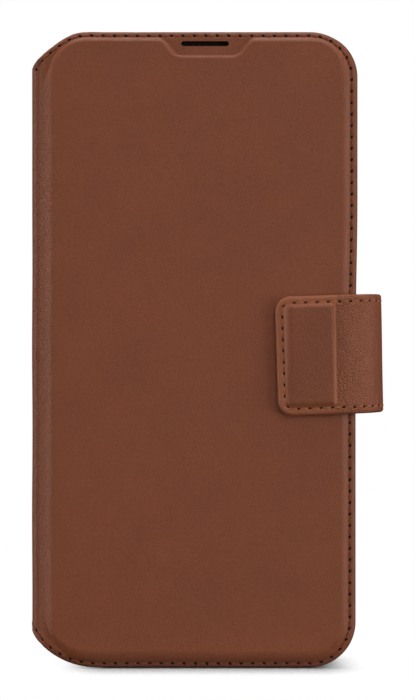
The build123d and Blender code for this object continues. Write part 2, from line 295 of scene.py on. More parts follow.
def quads(index, flip, closed):
    """Faces between neighbouring rows of vertex numbers."""
    if closed:
        index = np.concatenate([index, index[:, :1]], 1)
    a, b = index[:-1, :-1], index[:-1, 1:]
    c, e = index[1:, 1:], index[1:, :-1]
    order = (a, e, c, b) if flip else (a, b, c, e)
    return np.stack(order, -1).reshape(-1, 4)


def tidy(mesh):
    """Closes a mesh: merges its meeting points, fills its open ends flat and turns its faces outwards."""
    bm = bmesh.new()
    bm.from_mesh(mesh)
    bmesh.ops.remove_doubles(bm, verts=bm.verts, dist=MERGE)
    bmesh.ops.dissolve_degenerate(bm, dist=MERGE, edges=bm.edges)
    for face in bm.faces:
        face.smooth = True
    open_edges = [e for e in bm.edges if e.is_boundary]
    if open_edges:
        for face in bmesh.ops.holes_fill(bm, edges=open_edges, sides=0)["faces"]:
            face.smooth = False
    bmesh.ops.recalc_face_normals(bm, faces=bm.faces)
    bm.to_mesh(mesh)
    bm.free()


def new_object(name, data):
    """A new object in the scene."""
    obj = bpy.data.objects.new(name, data)
    bpy.context.scene.collection.objects.link(obj)
    return obj


def mesh_object(name, points, faces, slots=None):
    """A new smooth-shaded object from points in mm."""
    mesh = bpy.data.meshes.new(name)
    mesh.from_pydata((np.asarray(points) * MM).tolist(), [], [list(map(int, f)) for f in faces])
    if slots is not None:
        mesh.polygons.foreach_set("material_index", np.asarray(slots, np.int32))
    return new_object(name, mesh)

def store(mesh, name, values):
    """Stores one number for each vertex, for the materials to read."""
    layer = mesh.attributes.new(name, "FLOAT", "POINT")
    layer.data.foreach_set("value", values.reshape(-1).astype(np.float32))


def solid(name, place, outer, outer_h, inner, inner_h, closed=False, inner_slot=0):
    """A closed sheet between an outer and an inner face that share their outline."""
    rows, cols = outer[0].shape
    front = place(outer[0], outer[1], outer_h)
    back = place(inner[0][1:], inner[1][1:], inner_h[1:])
    points = np.concatenate([front.reshape(-1, 3), back.reshape(-1, 3)])
    index = np.arange(rows * cols).reshape(rows, cols)
    under = rows * cols + np.arange((inner[0].shape[0] - 1) * cols).reshape(-1, cols)
    under = np.concatenate([index[:1], under])
    top, bottom = quads(index, False, closed), quads(under, True, closed)
    per_row = cols if closed else cols - 1
    slots = np.zeros(len(top) + len(bottom), int)
    lined = np.repeat(inner[2][:-1, 0] >= LINED_FROM, per_row)
    slots[len(top):] = np.where(lined, inner_slot, 0)
    obj = mesh_object(name, points, np.concatenate([top, bottom]), slots)
    store(obj.data, "rim", np.concatenate([outer[2].reshape(-1), inner[2][1:].reshape(-1)]))
    tidy(obj.data)
    return obj


def mark(obj, name, mask):
    """Stores a mask of the rest position, 0 to 1, for the materials to read."""
    co = np.array([v.co for v in obj.data.vertices]) / MM
    store(obj.data, name, mask(*co.T))


def crisp(mesh):
    """Keeps the edges between a mesh's materials crisp."""
    bm = bmesh.new()
    bm.from_mesh(mesh)
    for edge in bm.edges:
        edge.smooth = len({face.material_index for face in edge.link_faces}) == 1
    bm.to_mesh(mesh)
    bm.free()


def cut(obj, cutter, face, wall):
    """Cuts a closed shape out of obj, whose faces have one material and the new walls another."""
    for mesh in (obj.data, cutter.data):
        mesh.materials.append(face)
        mesh.materials.append(wall)
    count = len(cutter.data.polygons)
    cutter.data.polygons.foreach_set("material_index", np.ones(count, np.int32))
    cutter.data.polygons.foreach_set("use_smooth", np.zeros(count, bool))
    modifier = obj.modifiers.new("cut", "BOOLEAN")
    modifier.operation = "DIFFERENCE"
    modifier.solver = "EXACT"
    modifier.object = cutter
    bpy.context.view_layer.update()
    result = bpy.data.meshes.new_from_object(obj.evaluated_get(bpy.context.evaluated_depsgraph_get()))
    obj.modifiers.clear()
    obj.data = result
    crisp(result)
    bpy.data.objects.remove(cutter)


def front_ring(x, z, width, height, radius, y, step):
    """Points round a rounded rectangle seen from the front."""
    low_x, low_z = x - width / 2, z - height / 2
    sx, sz, _ = loop_grid(low_x, x + width / 2, low_z, z + height / 2, radius, [0.0], step)
    return np.stack([sx[0], np.full(len(sx[0]), y), sz[0]], 1)


def prism(name, x, z, width, height, radius, y0, y1):
    """A rounded front-view shape run through in Y, used as a cutter."""
    ring = front_ring(x, z, width, height, radius, y=0.0, step=4.0)
    count = len(ring)
    points = np.concatenate([ring + (0, y0, 0), ring + (0, y1, 0)])
    index = np.arange(2 * count).reshape(2, count)
    obj = mesh_object(name, points, quads(index, False, True))
    tidy(obj.data)
    return obj


def tube(name, line, radius, sides=10):
    """A round bead along a closed front-view line of points."""
    ahead = np.roll(line, -1, 0) - np.roll(line, 1, 0)
    ahead /= np.linalg.norm(ahead, axis=1)[:, None]
    up = np.tile([0.0, -1.0, 0.0], (len(line), 1))
    across = np.cross(ahead, up)
    turn = np.linspace(0, 2 * math.pi, sides, endpoint=False)
    ring = (
        line[:, None]
        + radius * np.cos(turn)[None, :, None] * across[:, None]
        + radius * np.sin(turn)[None, :, None] * up[:, None]
    )
    index = np.arange(len(line) * sides).reshape(len(line), sides)
    index = np.concatenate([index, index[:1]])
    obj = mesh_object(name, ring.reshape(-1, 3), quads(index, False, True))
    tidy(obj.data)
    return obj


def dress(obj, slot, nodes, *materials):
    """Gives a piece its materials and the rest position they read, and hides the nodes it stands for; slot is
    not used.
    """
    mesh = obj.data
    slots = np.empty(len(mesh.polygons), np.int32)
    mesh.polygons.foreach_get("material_index", slots)
    mesh.materials.clear()
    for m in materials:
        mesh.materials.append(m)
    mesh.polygons.foreach_set("material_index", slots)
    rest = np.empty(len(mesh.vertices) * 3, np.float32)
    mesh.vertices.foreach_get("co", rest)
    layer = mesh.attributes.new("rest", "FLOAT_VECTOR", "POINT")
    layer.data.foreach_set("vector", rest / MM)
    if nodes:
        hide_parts(*nodes)
    return obj


# ---- materials

class Nodes:
    """A node tree with short calls for adding to it."""

    def __init__(self, tree):
        self.tree = tree

    def put(self, socket, value):
        """Sets a socket to a number, a colour or a vector, or links a result to it."""
        if isinstance(value, bpy.types.NodeSocket):
            self.tree.links.new(value, socket)
        elif socket.type == "RGBA":
            socket.default_value = (*value, 1.0)
        else:
            socket.default_value = value

    def add(self, kind, inputs=None, **settings):
        """A new node with its settings, and with values or results on its inputs."""
        node = self.tree.nodes.new(kind)
        for key, value in settings.items():
            setattr(node, key, value)
        for key, value in (inputs or {}).items():
            self.put(node.inputs[key], value)
        return node

    def mix_shaders(self, share, a, b, output):
        """Joins two shaders to the tree's output: a changed towards b by share."""
        blend = self.add("ShaderNodeMixShader", {0: share, 1: a, 2: b})
        self.put(self.tree.nodes[output].inputs["Surface"], blend.outputs[0])


class Shader(Nodes):
    """A material of the nodes this scene needs. Textures are laid in mm, on the rest position if rest."""

    def __init__(self, name, rest=True):
        self.material = bpy.data.materials.new(name)
        self.material.use_nodes = True
        super().__init__(self.material.node_tree)
        self.bsdf = self.tree.nodes["Principled BSDF"]
        if rest:
            self.where = self.add("ShaderNodeAttribute", attribute_name="rest").outputs["Vector"]
        else:
            place = self.add("ShaderNodeTexCoord").outputs["Object"]
            scaled = {0: place, "Scale": 1 / MM}
            self.where = self.add("ShaderNodeVectorMath", scaled, operation="SCALE").outputs[0]

    def vector(self, operation, a, b=(0.0, 0.0, 0.0)):
        return self.add("ShaderNodeVectorMath", {0: a, 1: b}, operation=operation).outputs[0]

    def math(self, operation, a, b):
        return self.add("ShaderNodeMath", {0: a, 1: b}, operation=operation).outputs[0]

    def attribute(self, name):
        return self.add("ShaderNodeAttribute", attribute_name=name).outputs["Fac"]

    def stretched(self, x, y, z):
        """Texture coordinates squeezed along each axis."""
        return self.vector("MULTIPLY", self.where, (x, y, z))

    def noise(self, size, detail=2.0, rough=0.5, where=None):
        """Cloudy noise, 0 to 1, whose features are about size mm across."""
        inputs = {"Vector": where or self.where, "Scale": 1 / size, "Detail": detail, "Roughness": rough}
        return self.add("ShaderNodeTexNoise", inputs).outputs["Fac"]

    def cells(self, size, warp=0.35, where=None):
        """Distance to the edges of pebbled cells about size mm across, with wandering borders."""
        where = where or self.where
        shift = self.add("ShaderNodeTexNoise", {"Vector": where, "Scale": 1.4 / size}).outputs["Color"]
        moved = {0: shift, 1: (warp * size,) * 3, 2: where}
        moved = self.add("ShaderNodeVectorMath", moved, operation="MULTIPLY_ADD").outputs[0]
        inputs = {"Vector": moved, "Scale": 1 / size}
        return self.add("ShaderNodeTexVoronoi", inputs, feature="DISTANCE_TO_EDGE").outputs["Distance"]

    def ramp(self, value, low, high, out_low=0.0, out_high=1.0):
        """value stretched so that low to high becomes out_low to out_high, with soft ends."""
        inputs = {"Value": value, "From Min": low, "From Max": high, "To Min": out_low, "To Max": out_high}
        return self.add("ShaderNodeMapRange", inputs, interpolation_type="SMOOTHSTEP").outputs["Result"]

    def mix(self, share, a, b):
        """Colour a changed towards colour b by share."""
        inputs = {"Factor": share, "A": a, "B": b}
        return self.add("ShaderNodeMix", inputs, data_type="RGBA").outputs["Result"]

    def relief(self, height, depth, under=None):
        """Bump from a height of 0 to 1 that stands for depth mm."""
        inputs = {"Distance": depth * MM, "Strength": 1.0, "Height": height}
        if under is not None:
            inputs["Normal"] = under
        return self.add("ShaderNodeBump", inputs).outputs["Normal"]

    def surface(self, color, roughness, normal=None, **constants):
        """Joins the results to the shader and sets its constant values."""
        inputs = {"Base Color": color, "Roughness": roughness}
        if normal is not None:
            inputs["Normal"] = normal
        inputs.update((key.replace("_", " "), value) for key, value in constants.items())
        for key, value in inputs.items():
            self.put(self.bsdf.inputs[key], value)
        return self.material


def toned(tone, share):
    """A tone made darker or lighter."""
    return tuple(share * c for c in tone)


WORN_AND_LIT_TINT = (1.24, 1.38, 1.48)  # how much lighter the strap's leather is, in red, green and blue, where it is worn and where a highlight is painted


def leather(name, tone, grain=0.5, depth=0.035, rough=0.46, wrinkled=False):
    """Smooth-finished leather: fine pebbled grain, pores, slow changes of tone, edges darkened partly by edge
    paint and partly by painted shade, and painted shade in the hinge groove and along the foot.
    """
    s = Shader(name)
    pebble = s.ramp(s.cells(grain), 0.0, 0.22)
    pores = s.noise(size=0.16, detail=3.0, rough=0.6)
    cloud = s.noise(size=16.0, detail=3.0, rough=0.55)
    mottle = s.noise(size=2.4, detail=3.0, rough=0.6)
    speck = s.noise(size=0.55, detail=2.0, rough=0.6)
    color = s.mix(s.ramp(cloud, 0.3, 0.7), toned(tone, 0.94), toned(tone, 1.05))
    color = s.mix(s.ramp(mottle, 0.35, 0.75, 0.0, 0.12), color, toned(tone, 0.8))
    color = s.mix(s.ramp(speck, 0.3, 0.7, 0.36, 0.0), color, toned(tone, 0.55))
    crease = s.math("MULTIPLY", s.math("SUBTRACT", 1.0, pebble), 0.30)
    color = s.mix(crease, color, toned(tone, 0.55))
    # Darker edges: partly edge paint, partly painted shade where the rounded edge would catch light
    edge = s.ramp(s.attribute("rim"), 0.05, 0.55, 0.75, 0.0)
    color = s.mix(edge, color, toned(tone, 0.35))
    # Painted shade in the hinge groove and along the foot, read from the hinge mask
    color = s.mix(s.math("MULTIPLY", s.attribute("hinge"), 0.80), color, toned(tone, 0.5))
    normal = s.relief(pores, depth * 0.5, s.relief(pebble, depth))
    normal = s.relief(s.noise(size=7.0), 0.16, normal)
    if wrinkled:
        fold = s.attribute("fold")
        lines = s.ramp(s.cells(0.72, warp=0.9, where=s.stretched(0.8, 0.8, 1.3)), 0.0, 0.3)
        height = s.math("MULTIPLY", lines, fold)
        normal = s.relief(height, 0.17, normal)
        # Lighter strap leather: partly wear, partly a painted highlight
        color = s.mix(s.attribute("worn_and_lit"), color, tuple(k * c for k, c in zip(WORN_AND_LIT_TINT, tone)))
        shade = s.math("MULTIPLY", s.math("SUBTRACT", 1.0, lines), s.math("MULTIPLY", fold, 0.14))
        color = s.mix(shade, color, toned(tone, 0.5))
    roughness = s.ramp(s.noise(size=1.1, detail=3.0, rough=0.6), 0.3, 0.7, rough - 0.05, rough + 0.07)
    return s.surface(color, roughness, normal, Specular_IOR_Level=0.25)


def microfibre(name, tone):
    """Short-napped microfibre: matt, faintly streaked, with a soft sheen."""
    s = Shader(name)
    fibre = s.noise(size=0.22, detail=4.0, rough=0.7, where=s.stretched(1.0, 1.0, 0.45))
    brushed = s.noise(size=5.0, where=s.stretched(1.0, 1.0, 0.3))
    color = s.mix(s.ramp(fibre, 0.3, 0.7), toned(tone, 0.7), toned(tone, 1.25))
    color = s.mix(s.ramp(brushed, 0.35, 0.65, 0.0, 0.3), color, toned(tone, 0.75))
    return s.surface(color, 0.92, s.relief(fibre, 0.06), Sheen_Weight=0.35, Sheen_Roughness=0.4)


def thread(name, tone):
    """Waxed sewing thread with a visible twist."""
    s = Shader(name)
    wave = {"Vector": s.where, "Scale": 1.5, "Distortion": 0.6}
    twist = s.add("ShaderNodeTexWave", wave, wave_type="BANDS", bands_direction="DIAGONAL").outputs["Fac"]
    color = s.mix(twist, toned(tone, 0.6), toned(tone, 1.2))
    fuzz = s.noise(size=0.08, detail=3.0, rough=0.7)
    normal = s.relief(fuzz, 0.03, s.relief(twist, 0.08))
    return s.surface(color, 0.7, normal, Specular_IOR_Level=0.12)


def painted_hole_shade(name):
    """Painted shade: the near-black inside of an awl hole, also used on the walls of cut openings."""
    s = Shader(name)
    color = s.mix(s.noise(size=0.2), (0.006, 0.003, 0.002), (0.016, 0.007, 0.004))
    return s.surface(color, 0.95, Specular_IOR_Level=0.1)


def gauze(name, tone):
    """Fine black woven gauze, whose near-black colour also stands in for the shade inside the sound slot."""
    s = Shader(name)
    warp = s.noise(size=0.12, detail=1.0, where=s.stretched(1.0, 1.0, 0.2))
    weft = s.noise(size=0.12, detail=1.0, where=s.stretched(0.2, 1.0, 1.0))
    weave = s.math("MULTIPLY", warp, weft)
    color = s.mix(s.ramp(weave, 0.15, 0.35), toned(tone, 0.4), tone)
    return s.surface(color, 0.9, s.relief(weave, 0.05), Specular_IOR_Level=0.1)


def plastic(name, tone, rough, depth=0.015, specular=0.5):
    """Moulded plastic with a fine spark-eroded texture."""
    s = Shader(name, rest=False)
    grain = s.noise(size=0.14, detail=4.0, rough=0.65)
    cloud = s.noise(size=9.0)
    color = s.mix(s.ramp(cloud, 0.3, 0.7), toned(tone, 0.85), toned(tone, 1.15))
    roughness = s.ramp(s.noise(size=2.0, detail=3.0), 0.3, 0.7, rough - 0.05, rough + 0.06)
    return s.surface(color, roughness, s.relief(grain, depth), Specular_IOR_Level=specular)


def metal(name, tone, rough):
    """Rolled or plated metal with fine lengthways lines."""
    s = Shader(name, rest=False)
    lines = s.noise(size=0.3, detail=3.0, rough=0.6, where=s.stretched(6.0, 6.0, 0.15))
    color = s.mix(lines, toned(tone, 0.9), tone)
    roughness = s.ramp(lines, 0.3, 0.7, rough - 0.06, rough + 0.08)
    return s.surface(color, roughness, s.relief(lines, 0.004), Metallic=1.0)


def board(name, tone, rest=False):
    """Pressed grey board or foam with short fibres."""
    s = Shader(name, rest)
    fibre = s.noise(size=0.5, detail=5.0, rough=0.7)
    color = s.mix(s.ramp(fibre, 0.3, 0.7), toned(tone, 0.8), toned(tone, 1.1))
    return s.surface(color, 0.95, s.relief(fibre, 0.05))


BROWN = (0.184, 0.0480, 0.0165)
STRAP_BROWN = (0.175, 0.0465, 0.0172)
POCKET_BROWN = (0.160, 0.042, 0.0155)
COVER_LEATHER = leather("cover_leather_brown", BROWN)
STRAP_LEATHER = leather("strap_leather_brown", STRAP_BROWN, grain=0.62, depth=0.05, wrinkled=True)
POCKET_LEATHER = leather("pocket_leather_brown", POCKET_BROWN, grain=0.42, depth=0.025, rough=0.5)
LINING = microfibre("lining_microfibre", (0.105, 0.047, 0.030))
PAD_CLOTH = microfibre("shell_pad_microfibre", (0.060, 0.030, 0.022))
THREADS = {
    "brown_thread": thread("brown_waxed_thread", (0.150, 0.047, 0.021)),
    "tan_thread": thread("tan_waxed_thread", (0.300, 0.112, 0.050)),
}
HOLE_SHADE = painted_hole_shade("awl_hole_painted_shade")
GAUZE_AND_SHADE = gauze("black_gauze_and_shade", (0.012, 0.007, 0.005))
SHELL_PLASTIC = plastic("shell_soft_plastic", (0.026, 0.016, 0.012), 0.58, specular=0.25)
KEY_PLASTIC = plastic("key_plastic", (0.048, 0.032, 0.025), 0.36, depth=0.006)
STEEL = metal("rolled_steel", (0.56, 0.57, 0.58), 0.35)
NICKEL = metal("nickel_plate", (0.66, 0.64, 0.61), 0.22)
GREY_BOARD = board("grey_board", (0.36, 0.33, 0.29))
FOAM = board("white_foam", (0.72, 0.71, 0.68), rest=True)


# ---- covers

def cover_place(body):
    """Maps a cover's flat sheet (s along from the fold, w from its middle, h proud) to the row frame."""
    sign, face_y, _ = COVERS[body]

    def place(s, w, h):
        turn = np.clip(-s / FOLD_R, 0, math.pi / 2)
        down = np.maximum(-s - FOLD_ARC, 0)
        x = FOLD_X + FOLD_R + np.maximum(s, 0) - (FOLD_R + h) * np.sin(turn)
        y = face_y - sign * FOLD_R + sign * (FOLD_R + h) * np.cos(turn) - sign * down
        return np.stack([x, y, MID_Z + w], -1)
    return place


def cover_x(s):
    """How far along X a point of the flat sheet ends up."""
    turn = np.clip(-s / FOLD_R, 0, math.pi / 2)
    return FOLD_X + FOLD_R + np.maximum(s, 0) - FOLD_R * np.sin(turn)


def cover_half(inset):
    """Half height of a cover's outline at each place along the sheet."""
    def half(s):
        back = np.clip(SPINE_CORNER_X - cover_x(s), 0, None)
        return MID_Z - SPINE_CORNER_R + np.sqrt(SPINE_CORNER_R**2 - back**2) - inset * lean(s)
    return half


def lean(s):
    """How much longer a vertical inset is than a true one, where the outline slopes beside the spine."""
    back = np.clip(SPINE_CORNER_X - cover_x(s), 0, None) / SPINE_CORNER_R
    return 1 / np.sqrt(1 - back**2)


def run_along(s, w, gap=0.0):
    """Distance run along a line of points, which is never less than gap from one to the next."""
    return np.concatenate([[0], np.cumsum(np.hypot(np.diff(s), np.diff(w)) + gap)])


def seam_path(grid, d, height):
    """Distance run, s, w and height along the grid's line at inset d."""
    row = int(np.argmin(np.abs(grid[2][:, 0] - d)))
    s, w = grid[0][row], grid[1][row]
    return run_along(s, w), s, w, height[row]


def channel(off, run, pitch, depth):
    """A shallow channel along a seam, drawn in deepest at each needle hole; off is the distance from it."""
    even, drawn = SEAM_DRAWN
    return -depth * bump(off, SEAM_WIDTH) * (even + drawn * np.cos(2 * math.pi * run / pitch))


def seam_groove(grid, d, pitch, depth):
    """The channel of a seam along the grid's line at inset d."""
    return channel(grid[2] - d, seam_path(grid, d, grid[2])[0][None, :], pitch, depth)


def notch_rise(x, z):
    """How far up the slope round the sound slot's recess a point is: 0 at its foot, 1 at its head."""
    below = (NOTCH_Z - z) / NOTCH_SLOPE + NOTCH_CORNER
    half = NOTCH_HALF + NOTCH_LEAN * (z - NOTCH_Z)
    beside = (np.abs(x - NOTCH_X) - half) / math.hypot(1, NOTCH_LEAN) / NOTCH_SIDE_SLOPE + NOTCH_CORNER
    outside = np.hypot(np.maximum(below, 0), np.maximum(beside, 0))
    return np.where((below > 0) & (beside > 0), outside, np.maximum(below, beside)) - NOTCH_CORNER


def hinge(x):
    """Section of the hinge groove: steep beside the spine, easing up towards the panel."""
    return bump(x - HINGE_X, np.where(x < HINGE_X, *HINGE_WIDTHS))


def edge_radius(s, thick):
    """Radius of a cover's outer edge: thick beside the board, thin where only the leather folds."""
    return thick / 2 - (thick / 2 - FOLD_EDGE_R) * smooth(-s / FOLD_EDGE_RUN)


def pillow(t):
    """A padded edge: steep at its foot and easing into the face, 0 to 1."""
    return 1 - (1 - np.clip(t, 0, 1)) ** PILLOW


def pillow_share(height):
    """Where on a padded edge a height is reached."""
    return 1 - (1 - np.clip(height, 0, 1)) ** (1 / PILLOW)


def spine_join(s):
    """0 where the two covers' sheets meet in the middle of the spine, 1 beside it."""
    return smooth((s + FOLD_ARC + SPINE_HALF) / SPINE_JOIN_RUN)


def dome(x):
    """Slow swell of the padded panel across its width, 0 to 1."""
    return smooth((x - PANEL_START) / DOME_RUN) * smooth((EDGE_X - x) / DOME_RUN)


def hinge_groove(x, d):
    """Depth of the hinge groove, which stops short of the cover's ends."""
    return HINGE_DEPTH * hinge(x) * smooth((d - HINGE_END) / EDGE_FADE)


def border_groove(grid):
    """The border seam's channel, which stops beside the spine."""
    return seam_groove(grid, SEAM_D, SEAM_PITCH, SEAM_DEPTH) * smooth((grid[0] - SEAM_STOP) / EDGE_FADE)


def front_face(grid):
    """Relief of the front cover's outer face."""
    s, w, d = grid
    x, z = cover_x(s), MID_Z + w
    run = (x - PANEL_START) / PANEL_EASE
    beside = np.where(run < 1, pillow_share(smooth(np.clip(run, 0, 1) ** PANEL_EASE_POWER)), run)
    foot = PANEL_FOOT * smooth((-w - PANEL_END) / PANEL_END_RUN)
    head = PANEL_HEAD * smooth((w - PANEL_END) / PANEL_END_RUN)
    ends = (d - PANEL_D) / (PANEL_SLOPE + foot - head)
    inside = round_min(beside, ends, PANEL_CORNER / PANEL_SLOPE)
    inside = round_min(inside, notch_rise(x, z), NOTCH_BLEND)
    h = PANEL_RISE * pillow(inside)
    h += PANEL_DOME * dome(x) * smooth((MID_Z - np.abs(w)) / DOME_RUN)
    h += PANEL_UNEVEN * ripple(x, z, PANEL_SWELL) * smooth(inside / 2)
    h -= bullnose(d, edge_radius(s, COVER_T))
    h -= hinge_groove(x, d)
    border = smooth(1 - inside) * smooth(d / EDGE_FADE)
    h += BORDER_UNEVEN * ripple(x, z, BORDER_SWELL) * border * spine_join(s)
    return h + border_groove(grid)


def back_face(grid):
    """Relief of the back cover's outer face."""
    s, w, d = grid
    x, z = cover_x(s), MID_Z + w
    h = -bullnose(d, edge_radius(s, BACK_T))
    h -= hinge_groove(x, d)
    h += (BACK_UNEVEN * ripple(x, z, PANEL_SWELL) - BACK_HOLLOW) * smooth((d - 2) / 4) * spine_join(s)
    return h + border_groove(grid)


def cover_grids(inset, fine, coarse, step):
    """Outer and inner grids of one cover's sheet, from the middle of the spine to its free edge."""
    left, bend_end = -(FOLD_ARC + SPINE_HALF), 6.0
    bend_step, flat_run = 0.3, 60.0
    end = COVER_END - inset
    columns = np.concatenate([
        np.linspace(left, bend_end, int((bend_end - left) / bend_step), endpoint=False),
        np.linspace(bend_end, end - (CORNER_R - inset), int(flat_run / step)),
    ])

    def make(insets, levels):
        s, w, d = u_grid(columns, end, cover_half(inset), lean, CORNER_R - inset, insets, levels, step)
        near = smooth((s - end + FREE_ZONE) / FREE_RUN)
        x = cover_x(s)
        diagonal = bump(x - FULL_X, DIAGONAL_WIDTH) - bump(x - LEAN_X, DIAGONAL_WIDTH)
        w = w + TOP_DIAGONAL * diagonal * smooth(w / UPPER_RUN)
        upper = TOP_FULLNESS * smooth(w / UPPER_RUN)
        return s + near * (upper - SIDE_BORDER * smooth(d / EDGE_FADE)), w, d

    return make(fine, np.concatenate([COVER_EASING, COVER_DEEP])), make(coarse, COVER_DEEP[5::3])


def painted_shade(x, y, z):
    """Painted shade on a cover's leather: in the hinge groove and along the foot it stands on."""
    return np.maximum(HINGE_SHADE * bump(x - HINGE_X + 0.3, 1.0), smooth((FOOT_SHADE - z) / FOOT_RUN))


def make_cover(body, relief):
    """One leather cover with its fold and its half of the spine, and its outer grid."""
    thick = COVERS[body][2]
    outer, inner = cover_grids(0.0, FINE_LINES, COARSE_LINES, 0.4)
    sunk = LINING_SUNK * smooth((inner[2] - LINING_INSET) / 0.3)
    inner_h = -thick + bullnose(inner[2], thick - edge_radius(inner[0], thick)) + sunk
    obj = solid(body + "_leather", cover_place(body), outer, relief(outer), inner, inner_h)
    # Stores where painted shade falls: the hinge groove and the foot
    mark(obj, "hinge", painted_shade)
    return obj, outer


def bend_cover(obj, body):
    """Bakes a cover piece's transform into its mesh."""
    if body == "back_cover":
        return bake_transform(obj)
    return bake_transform(obj)


def make_lining(body):
    """The lining inside one cover and its half of the spine."""
    thick = COVERS[body][2]
    outer, inner = cover_grids(LINING_INSET, LINING_LINES, LINING_LINES, 1.2)
    under_h = np.full(outer[2].shape, -thick + LINING_T)
    under_h[0] = -thick + LINING_T / 2
    inner_h = -thick + LINING_LIFT + bullnose(inner[2], LINING_EDGE_R)
    return solid(body + "_lining", cover_place(body), outer, under_h, inner, inner_h)


def stitches(name, slot, nodes, place, path, pitch, thick, first=1, hole=1.0):
    """A row of single stitches along a seam, each from one slanted awl hole to the next."""
    run, path_s, path_w, path_h = path
    count = int(run[-1] / pitch)
    points, faces, slots = [], [], []

    def at(u, across, h):
        s, w = np.interp(u, run, path_s), np.interp(u, run, path_w)
        ds = np.interp(u + 0.05, run, path_s) - np.interp(u - 0.05, run, path_s)
        dw = np.interp(u + 0.05, run, path_w) - np.interp(u - 0.05, run, path_w)
        size = np.maximum(np.hypot(ds, dw), 1e-9)
        s, w = s + across * dw / size, w - across * ds / size
        return place(s, w, np.interp(u, run, path_h) + h)

    def add(rings, slot):
        base = sum(len(p) for p in points)
        rows, cols = rings.shape[:2]
        points.append(rings.reshape(-1, 3))
        index = base + np.arange(rows * cols).reshape(rows, cols)
        made = quads(index, False, True)
        faces.extend(made.tolist())
        faces.extend([index[0].tolist(), index[-1][::-1].tolist()])
        slots.extend([slot] * (len(made) + 2))

    turn = np.linspace(0, 2 * math.pi, 8, endpoint=False)
    cosine, sine = np.cos(turn), np.sin(turn)
    u = np.linspace(-1, 1, 9)
    lift = STITCH_LIFT * (1 - np.abs(u) ** 2.2) - STITCH_SINK
    swell = thick * np.sqrt(np.clip(1 - np.abs(u) ** 5, 0.04, 1))
    for i in range(first, count - first + 1):
        along = (i + 0.5) * pitch + u * STITCH_LENGTH * pitch / 2
        across = (STITCH_LEAN * u)[:, None] + cosine * swell[:, None]
        add(at(along[:, None] + 0 * turn, across, lift[:, None] + sine * swell[:, None]), 0)
    # Awl holes: near-black pieces of painted shade at each needle hole
    size = (hole * HOLE_TAPER)[:, None]
    along = (HOLE_ALONG[0] * cosine[None] + HOLE_ALONG[1] * sine[None]) * size
    across = (HOLE_ACROSS[0] * cosine[None] + HOLE_ACROSS[1] * sine[None]) * size
    for i in range(first, count - first + 2):
        add(at(i * pitch + along, across, HOLE_RISE[:, None] + 0 * along), 1)
    obj = mesh_object(name, np.concatenate(points), faces, slots)
    tidy(obj.data)
    return dress(obj, slot, nodes, THREADS[slot], HOLE_SHADE)


WINDOW_LOW, WINDOW_HIGH = box_mm("camera_lip")
WINDOW_X, _, WINDOW_Z = (WINDOW_LOW + WINDOW_HIGH) / 2
WINDOW_W, _, WINDOW_H = WINDOW_HIGH - WINDOW_LOW + 0.2
WINDOW_R = 9.0
CUT_PAST = 3.0  # how far a cutter reaches past both faces


def slot_cutter():
    """The sound slot's shape, run through the front cover."""
    radius = SLOT_SIZE[1] / 2 - 0.02
    low, high = FRONT_Y - CUT_PAST, FRONT_HIGH[1] + CUT_PAST
    return prism("slot_cutter", SLOT_X, SLOT_Z, *SLOT_SIZE, radius, low, high)


def window_cutter():
    """The camera window's shape, run through the back cover."""
    low, high = BACK_LOW[1] - CUT_PAST, BACK_Y + CUT_PAST
    return prism("window_cutter", WINDOW_X, WINDOW_Z, WINDOW_W, WINDOW_H, WINDOW_R, low, high)


# Each cover's relief, the cutter of its opening and the opening's wall, and the nodes that its leather,
# lining and stitches stand for
COVER_PARTS = {
    "front_cover": (
        # the sound slot's walls are painted shade
        front_face, slot_cutter, HOLE_SHADE,
        ("cover_leather", "front_fold_leather", "spine_leather", "spine_board"),
        ("cover_lining", "spine_lining"), ("cover_stitching",),
    ),
    "back_cover": (
        back_face, window_cutter, LINING,
        ("back_leather", "back_fold_leather"), ("back_lining",), ("back_stitching",),
    ),
}
cover_grid = {}
for body, (relief, cutter, wall, nodes, _, _) in COVER_PARTS.items():
    sheet, cover_grid[body] = make_cover(body, relief)
    cut(sheet, cutter(), COVER_LEATHER, wall)
    bend_cover(dress(sheet, "brown_leather", nodes, COVER_LEATHER, wall), body)
for body, (_, cutter, _, _, nodes, _) in COVER_PARTS.items():
    sheet = make_lining(body)
    # the lining's cut walls are painted shade
    cut(sheet, cutter(), LINING, HOLE_SHADE)
    bend_cover(dress(sheet, "microfibre", nodes, LINING, HOLE_SHADE), body)
for body, (relief, _, _, _, _, nodes) in COVER_PARTS.items():
    seam = seam_path(cover_grid[body], SEAM_D, relief(cover_grid[body]))
    row = stitches(
        body + "_stitches", "brown_thread", nodes, cover_place(body), seam, SEAM_PITCH,
        thick=0.19, first=3, hole=1.5,
    )
    bend_cover(row, body)

WINDOW_BEAD = 0.45  # radius of the rolled leather edge round the camera window
WINDOW_SPREAD = 0.7  # how much larger the middle line of that edge is than the window
WINDOW_SUNK = 0.42  # how far that line lies below the cover's face
edge_line = front_ring(
    WINDOW_X, WINDOW_Z, WINDOW_W + WINDOW_SPREAD, WINDOW_H + WINDOW_SPREAD,
    radius=WINDOW_R + 0.3, y=BACK_Y - WINDOW_SUNK, step=0.5,
)
window_edge = tube("camera_window_edge", edge_line, WINDOW_BEAD)
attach(dress(window_edge, "brown_leather", (), COVER_LEATHER), "back_cover")


# ---- pockets, foam, slot gauze and shell pad

def leaf_place(y_under, out):
    """Maps a flat leaf lying on a cover, h measured away from the surface that it lies on."""
    def place(x, z, h):
        return np.stack([x, y_under + out * h, z], -1)
    return place


